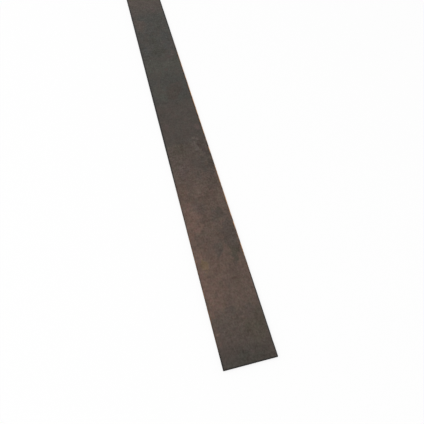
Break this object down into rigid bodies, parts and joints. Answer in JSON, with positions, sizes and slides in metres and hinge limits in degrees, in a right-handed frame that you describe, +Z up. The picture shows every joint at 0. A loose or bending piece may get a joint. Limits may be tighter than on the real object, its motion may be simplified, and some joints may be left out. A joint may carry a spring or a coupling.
{
  "type": "metal flat bar",
  "caption": "Hot-rolled steel flat bar, a long thin rectangular strip with mill scale, cut square at both ends.",
  "frame": {"origin": "middle of the broad face that the bar lies on", "axes": "+X along the bar's length, +Y across its width, +Z up through its thickness"},
  "size_m": [1, 0.05, 0.003],
  "materials": {
    "mill_scale_steel": "satin"
  },
  "bodies": {
    "root": {"flat_bar": "mill_scale_steel"}
  },
  "joints": []
}
